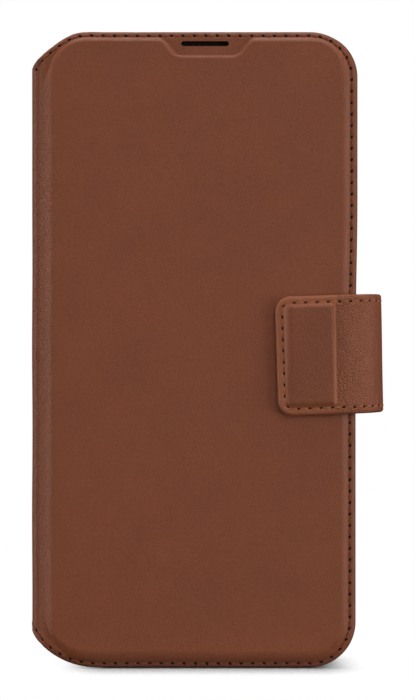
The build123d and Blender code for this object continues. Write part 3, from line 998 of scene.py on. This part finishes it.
def leaf(name, low, high, radius, thick_side=1, relief=None, step=2.0):
    """A thin leaf with rounded edges that fills the box from low to high."""
    reach = min(high[0] - low[0], high[2] - low[2]) / 2 - 0.5
    grid = loop_grid(low[0], high[0], low[2], high[2], radius, [d for d in LEAF_LINES if d < reach], step)
    thick = high[1] - low[1]
    top = thick - bullnose(grid[2], thick / 2)
    if relief is not None:
        top = top + relief(*grid)
    place = leaf_place(low[1] if thick_side > 0 else high[1], thick_side)
    return solid(name, place, grid, top, grid, bullnose(grid[2], thick / 2), closed=True)

HEM_RISE, HEM_WIDTH = 0.10, 2.0
PRESSED_LINE, PRESSED_DEPTH = 3.4, 0.06


def hem(mouth):
    """A folded hem and a pressed line beside a pocket's mouth."""
    def relief(x, z, d):
        folded = HEM_RISE * smooth(1 - (x - mouth - HEM_WIDTH) / 0.8) * smooth(d / 0.3)
        return folded - PRESSED_DEPTH * bump(x - mouth - PRESSED_LINE, 0.3)
    return relief


mouths = []
for node, radius in (
    ("cash_pocket", 6.0), ("card_pocket_outer", 1.5), ("card_pocket_middle", 1.5), ("card_pocket_inner", 1.5)
):
    low, high = box_mm(node)
    mouths.append((low[0], high[1]))
    pocket = leaf(node + "_leather", low, high, radius, relief=hem(low[0]), step=1.2)
    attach(dress(pocket, "pocket_leather", (node,), POCKET_LEATHER), "front_cover")


def pocket_level(x):
    """Height of the pockets' stepped top at x."""
    level = np.full(np.shape(x), mouths[1][1])
    for mouth, top in mouths[2:]:
        level = np.where(x > mouth, top, level)
    return level


SEAM_IN = 1.6  # how far in the pockets' seam runs
POCKET_PITCH = 2.8
SIDE_POINTS = 60
pocket_low, pocket_high = box_mm("card_pocket_outer")
start_x, corner_x = pocket_low[0] + 0.5, pocket_high[0] - SEAM_IN
top_w, bottom_w = pocket_high[2] - SEAM_IN - MID_Z, pocket_low[2] + SEAM_IN - MID_Z
turns = ((start_x, top_w), (corner_x, top_w), (corner_x, bottom_w), (start_x, bottom_w))
legs = list(zip(turns, turns[1:]))
ring_x, ring_w = (np.concatenate([np.linspace(a[k], b[k], SIDE_POINTS) for a, b in legs]) for k in (0, 1))


def pocket_place(x, w, h):
    """Stitches on the pockets: h is measured in Y, out of the cover towards the phone."""
    return np.stack([x, h, MID_Z + w], -1)


pocket_seam = (run_along(ring_x, ring_w, 1e-6), ring_x, ring_w, pocket_level(ring_x))
pocket_row = stitches(
    "pocket_stitches", "tan_thread", ("pocket_stitching",), pocket_place, pocket_seam, POCKET_PITCH,
    thick=0.17, hole=0.7,
)
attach(pocket_row, "front_cover")

gauze_middle = np.array([SLOT_X, FRONT_Y + GAUZE_DEPTH, SLOT_Z])
gauze_half = np.array([SLOT_SIZE[0] / 2 + GAUZE_MARGIN[0], GAUZE_T / 2, SLOT_SIZE[1] / 2 + GAUZE_MARGIN[1]])
gauze_low, gauze_high = gauze_middle - gauze_half, gauze_middle + gauze_half
# Black gauze behind the sound slot: partly a real mesh, partly painted shade for the slot's inside
slot_gauze = leaf("sound_slot_gauze", gauze_low, gauze_high, radius=0.8, step=0.5)
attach(dress(slot_gauze, "microfibre", (), GAUZE_AND_SHADE), "front_cover")

FOAM_GAP = np.array([0.4, 0.05, 0.0])
foam_low, foam_high = box_mm("cover_padding")
foam_low[2], foam_high[2] = foam_low[2] + 0.4, NOTCH_Z - 1.2
foam = leaf("cover_foam", foam_low + FOAM_GAP, foam_high - FOAM_GAP, radius=10.0)
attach(dress(foam, "foam", ("cover_padding",), FOAM), "front_cover")

PAD_MARGIN = 1.6  # how much smaller the pad's window is than the camera window
pad_low, pad_high = box_mm("shell_pad")
pad = leaf("shell_pad_cloth", pad_low, pad_high, radius=12.8, thick_side=-1)
pad_window = prism(
    "pad_cutter", WINDOW_X, WINDOW_Z, WINDOW_W - PAD_MARGIN, WINDOW_H - PAD_MARGIN, WINDOW_R - 0.8,
    pad_low[1] - 2, pad_high[1] + 2,
)
# the pad window's walls are painted shade
cut(pad, pad_window, PAD_CLOTH, HOLE_SHADE)
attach(dress(pad, "microfibre", ("shell_pad",), PAD_CLOTH, HOLE_SHADE), "back_cover")


# ---- strap

SIDE_BACK_Y = STRAP_BACK_Y - STRAP_R
SIDE_FRONT_Y = STRAP_FRONT_Y + STRAP_R
STRAP_ARC = STRAP_R * math.pi / 2
ROOT_S = EDGE_X - STRAP_TAIL_X
SIDE_S = ROOT_S + STRAP_ARC
BEND_S = SIDE_S + SIDE_BACK_Y - SIDE_FRONT_Y
TAB_S = BEND_S + STRAP_ARC
TAB_END_S = TAB_S + EDGE_X - STRAP_END
HALF_S = (SIDE_S + BEND_S) / 2
HALF_W = STRAP_W / 2
LOOP_X = 36.3  # where the round front of the strap's loop starts
LOOP_Y = (SIDE_BACK_Y + SIDE_FRONT_Y) / 2
LOOP_S = TAB_S + EDGE_X - LOOP_X
SLACK_START = ROOT_S + 5.0  # where the strap starts to stand off its tightest path


def slope_strap(x, y, w):
    """Turns strap points to the strap's slight slope."""
    run = x - STRAP_PAD_X
    c, k = math.cos(STRAP_TILT), math.sin(STRAP_TILT)
    return np.stack([STRAP_PAD_X + run * c - w * k, y + 0 * x, STRAP_Z + run * k + w * c], -1)


def strap_place(s, w, h):
    """Maps the strap's flat sheet to the row frame: tail, back bend, side, front loop, tab."""
    first = np.clip((s - ROOT_S) / STRAP_R, 0, math.pi / 2)
    slack = (STRAP_SLACK + STRAP_SLACK_TURN * w / HALF_W) * smooth((s - SLACK_START) / (HALF_S - SLACK_START))
    r = STRAP_R + h + slack
    back_x = STRAP_TAIL_X + np.clip(s, 0, ROOT_S) + r * np.sin(first)
    back_y = SIDE_BACK_Y + r * np.cos(first) - np.maximum(s - SIDE_S, 0)
    loop = np.clip((s - HALF_S) / (LOOP_S - HALF_S), 0, 1) * math.pi / 2
    reach = EDGE_X + STRAP_R + slack - LOOP_X
    front_x = LOOP_X + (reach + h) * np.cos(loop) - np.maximum(s - LOOP_S, 0)
    front_y = LOOP_Y - (LOOP_Y - STRAP_FRONT_Y + h) * np.sin(loop)
    is_front = s > HALF_S
    return slope_strap(np.where(is_front, front_x, back_x), np.where(is_front, front_y, back_y), w)


def strap_relief(s, w, d):
    """Outer face of the strap: rounded edges, the magnet pad and slack in the bend."""
    x = EDGE_X - (s - TAB_S)
    left_slope, right_slope, top_slope, bottom_slope = STRAP_PAD_SLOPES
    left, right = x - (STRAP_PAD_X - STRAP_PAD[0]), (STRAP_PAD_X + STRAP_PAD_RIGHT) - x
    ends = (STRAP_PAD[1] - np.abs(w)) / np.where(w > 0, top_slope, bottom_slope)
    inside = round_min(round_min(left / left_slope, right / right_slope, 0.5), ends, 0.9)
    rise = STRAP_PAD_RISE * (1 - STRAP_PAD_FALL * smooth((STRAP_PAD[1] - w) / (2 * STRAP_PAD[1])))
    pad = rise * pillow(inside) + 0.07 * smooth(inside / 5)
    slack = smooth((s - BEND_S) / 3) * smooth((TAB_S + 4 - s) / 3)
    creases = CREASE * np.sin(s * 2.1 + 0.9 * np.sin(w / 3.1)) * np.sin(w / 2.3 + 0.7 * s)
    h = pad - 0.03 * bump(right + 0.25, 0.35) * smooth(ends) + slack * creases
    return h - bullnose(d, STRAP_T / 2) + STRAP_UNEVEN * ripple(s, w, STRAP_SWELL) * smooth(d)


def strap_under(s, d):
    """Inner face of the strap, thinned at its root."""
    return -STRAP_T + bullnose(d, STRAP_T / 2) + STRAP_ROOT_THIN * smooth(1 - s / STRAP_ROOT_RUN)


def wrinkles(x, y, z):
    """Where the strap's leather is finely wrinkled: from the pad's edge to its front bend."""
    return smooth((x - 33.8) / 0.8) * (1 - 0.75 * smooth((x - 40.5) / 3.5)) * smooth((2 - y) / 6)


def worn_and_lit(x, y, z):
    """Where the strap's leather is lighter, partly from wear and partly as a painted highlight: all but its
    pressed pad and the far side of its bend.
    """
    beside = smooth((STRAP_PAD[0] - 0.4 - np.abs(x - STRAP_PAD_X)) / 0.8)
    pressed = beside * smooth((STRAP_PAD[1] - np.abs(z - STRAP_Z)) / 0.8)
    return (1 - pressed) * (1 - smooth((x - 40.5) / 4))


def bend_front(obj):
    """Bakes the transform of a strap piece by the front bend into its mesh."""
    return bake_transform(obj)


def bend_back(obj):
    """Bakes the transform of a strap piece by its root into its mesh."""
    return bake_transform(obj)


def half_strap(s):
    """Half width of the strap at each place along it."""
    return np.full(np.shape(s), HALF_W)


def no_lean(s):
    """The strap's sides run straight, so a vertical inset is a true one."""
    return np.ones(np.shape(s))


def strap_tab_grid(insets, levels):
    """Grid of the strap's front sheet, from the middle of its side to the tab's end."""
    along = np.linspace(HALF_S, TAB_END_S - STRAP_CORNER, 130)
    return u_grid(along, TAB_END_S, half_strap, no_lean, STRAP_CORNER, insets, levels, 0.35)


def dress_strap(obj, *nodes):
    """Masks, materials and nodes of one of the strap's two sheets."""
    mark(obj, "fold", wrinkles)
    # Wear and painted highlight on the strap
    mark(obj, "worn_and_lit", worn_and_lit)
    return dress(obj, "brown_leather", nodes, STRAP_LEATHER, LINING)


def strap_band():
    """The strap's back sheet, from its root to the middle of its side: one ring of points per place."""
    across = np.array(STRAP_FINE + list(np.linspace(4.2, HALF_W, 12)))
    out_d = np.concatenate([across, across[-2::-1]])
    out_w = np.concatenate([HALF_W - across, across[-2::-1] - HALF_W])
    ring_d = np.concatenate([out_d, out_d[-2:0:-1]])
    ring_side = np.concatenate([out_w, out_w[-2:0:-1]])
    s, w = np.meshgrid(np.linspace(0, HALF_S, 60), ring_side, indexing="ij")
    d = np.broadcast_to(ring_d, s.shape)
    outer_h = strap_relief(s, w, d) + channel(d - STRAP_SEAM_D, s - HALF_S, STRAP_PITCH, STRAP_SEAM_DEPTH)
    is_under = np.arange(len(ring_d)) >= len(out_d)
    points = strap_place(s, w, np.where(is_under, strap_under(s, d), outer_h)).reshape(-1, 3)
    index = np.arange(len(points)).reshape(s.shape)
    lined = np.tile(is_under & (ring_d > LINED_FROM), (len(s) - 1, 1)).reshape(-1)
    obj = mesh_object("strap_band_and_root", points, quads(index, False, True), lined.astype(int))
    store(obj.data, "rim", d)
    tidy(obj.data)
    return obj


def strap_stitches(name, nodes, path):
    """A row of tan stitches on the strap."""
    return stitches(name, "tan_thread", nodes, strap_place, path, STRAP_PITCH, thick=0.20, first=0, hole=1.35)


tab_outer = strap_tab_grid(STRAP_FINE, STRAP_DEEP)
tab_inner = strap_tab_grid(STRAP_COARSE, STRAP_DEEP[3::4])
tab_h = strap_relief(*tab_outer) + seam_groove(tab_outer, STRAP_SEAM_D, STRAP_PITCH, STRAP_SEAM_DEPTH)
tab_under_h = strap_under(tab_inner[0], tab_inner[2])
strap_tab = solid("strap_tab_and_bend", strap_place, tab_outer, tab_h, tab_inner, tab_under_h, inner_slot=1)
bend_front(dress_strap(strap_tab, "strap_tab_leather", "strap_tab_lining"))
bend_back(dress_strap(strap_band(), "strap_band_leather", "strap_band_lining", "strap_tail"))
tab_row = strap_stitches("strap_stitches", ("strap_stitching",), seam_path(tab_outer, STRAP_SEAM_D, tab_h))
bend_front(tab_row)
for end_name, side in (("top", 1), ("bottom", -1)):
    line_s = np.linspace(HALF_S, ROOT_S + 0.5, 50)
    line_w = np.full(50, side * (HALF_W - STRAP_SEAM_D))
    line_h = strap_relief(line_s, line_w, STRAP_SEAM_D) - STRAP_SEAM_DEPTH
    line = (HALF_S - line_s, line_s, line_w, line_h)
    bend_back(strap_stitches("strap_band_stitches_" + end_name, (), line))


# ---- hard parts that stay as they are

def repaint(material, *nodes):
    """Gives CAD nodes a procedural material."""
    for node in nodes:
        obj = frame["nodes"][node]
        obj.data.materials.clear()
        obj.data.materials.append(material)


repaint(SHELL_PLASTIC, "shell_tray", "camera_lip")
repaint(KEY_PLASTIC, "action_button", "volume_up_button", "volume_down_button", "side_button")
repaint(STEEL, "catch_plate")
repaint(NICKEL, "strap_magnet_lower", "strap_magnet_upper")
repaint(GREY_BOARD, "back_board", "cover_board")


# ---- floor, light and camera

FLOOR_X, FLOOR_Y = 1.5, 1.8  # middle of the patch of floor that shows the contact shadow, in mm
FLOOR_HALF = (27.0, 8.0)
FLOOR_FADE = 14.0
FLOOR_EDGE = 0.6  # half of the floor's side, in metres
FLOOR_DROP = 0.0002  # metres below the object
FLOOR_GREY = (0.48, 0.48, 0.48)
WHITE = (1.0, 1.0, 1.0)
AMBIENT = 0.14
AMBIENT_BELOW = 0.01
CAMERA_DISTANCE = 0.56
CAMERA_X, CAMERA_Z = 0.0004, 0.0834
FRAME_HEIGHT = 0.1837  # what the frame holds at the front cover
SENSOR = 24.0
MIDDLE = MID_Z * MM

# Lamps: name, place, height of the point on the object's axis that it is aimed at, size, power in watts
LAMPS = (
    ("top", (0.0, -0.06, 1.5), MIDDLE, (1.2, 0.8), 24.0),
    ("left", (-0.88, -0.22, 0.09), MIDDLE, (0.5, 0.6), 6.2),
    ("right", (0.85, -0.36, 0.09), MIDDLE, (0.5, 0.6), 6.8),
    ("key", (1.4, -3.1, 1.9), MIDDLE, (1.7, 1.5), 44.0),
    ("rear", (-0.35, 1.5, 1.0), MIDDLE, (0.9, 0.8), 14.0),
    ("fill", (0.0, -0.8, 0.0), 0.05, (0.6, 0.2), 0.9),
)


def floor():
    """A pale floor that fades into the white surround just beyond the contact shadow."""
    mesh = bpy.data.meshes.new("floor")
    corners = [(x * FLOOR_EDGE, y * FLOOR_EDGE, 0) for x, y in ((-1, -1), (1, -1), (1, 1), (-1, 1))]
    mesh.from_pydata(corners, [], [(0, 1, 2, 3)])
    obj = new_object("floor", mesh)
    obj.location.z = -FLOOR_DROP
    s = Shader("floor_white", rest=False)
    s.surface(FLOOR_GREY, 0.9, Specular_IOR_Level=0.1)
    flat = s.stretched(1.0, 1.0, 0.0)
    out = s.vector("ABSOLUTE", s.vector("SUBTRACT", flat, (FLOOR_X, FLOOR_Y, 0.0)))
    out = s.vector("MAXIMUM", s.vector("SUBTRACT", out, (*FLOOR_HALF, 0.0)))
    distance = s.add("ShaderNodeVectorMath", {0: out}, operation="LENGTH").outputs["Value"]
    clear = s.add("ShaderNodeBsdfTransparent").outputs[0]
    s.mix_shaders(s.ramp(distance, 0.0, FLOOR_FADE), s.bsdf.outputs[0], clear, "Material Output")
    mesh.materials.append(s.material)


def world():
    """White studio surround: bright to look at, dimmer as a light, and almost dark from below."""
    w = bpy.data.worlds.new("studio")
    w.use_nodes = True
    s = Nodes(w.node_tree)
    where = s.add("ShaderNodeTexCoord").outputs["Generated"]
    height = s.add("ShaderNodeSeparateXYZ", {0: where}).outputs["Z"]
    span = {"Value": height, "From Min": -0.4, "From Max": 0.4, "To Min": AMBIENT_BELOW, "To Max": AMBIENT}
    strength = s.add("ShaderNodeMapRange", span).outputs["Result"]
    lit = s.add("ShaderNodeBackground", {"Color": WHITE, "Strength": strength})
    seen = s.tree.nodes["Background"]
    s.put(seen.inputs["Color"], WHITE)
    s.put(seen.inputs["Strength"], 1.0)
    ray = s.add("ShaderNodeLightPath").outputs["Is Camera Ray"]
    s.mix_shaders(ray, lit.outputs[0], seen.outputs[0], "World Output")
    bpy.context.scene.world = w


def light(name, place, aim_height, size, power):
    """A soft square lamp aimed at a point on the object's axis."""
    lamp = bpy.data.lights.new(name, "AREA")
    lamp.shape = "RECTANGLE"
    lamp.size, lamp.size_y = size
    lamp.energy = power
    obj = new_object(name, lamp)
    obj.location = place
    aim = Vector((0.0, 0.0, aim_height)) - Vector(place)
    obj.rotation_euler = aim.to_track_quat("-Z", "Y").to_euler()


floor()
world()
for lamp in LAMPS:
    light(*lamp)

lens = bpy.data.cameras.new("camera")
lens.sensor_fit = "VERTICAL"
lens.sensor_height = SENSOR
lens.lens = SENSOR * CAMERA_DISTANCE / FRAME_HEIGHT
lens.clip_start = 0.01
camera = new_object("camera", lens)
camera.location = (CAMERA_X, FRONT_Y * MM - CAMERA_DISTANCE, CAMERA_Z)
camera.rotation_euler = (math.radians(90), 0, 0)
bpy.context.scene.camera = camera
bpy.context.scene.view_settings.view_transform = "Standard"
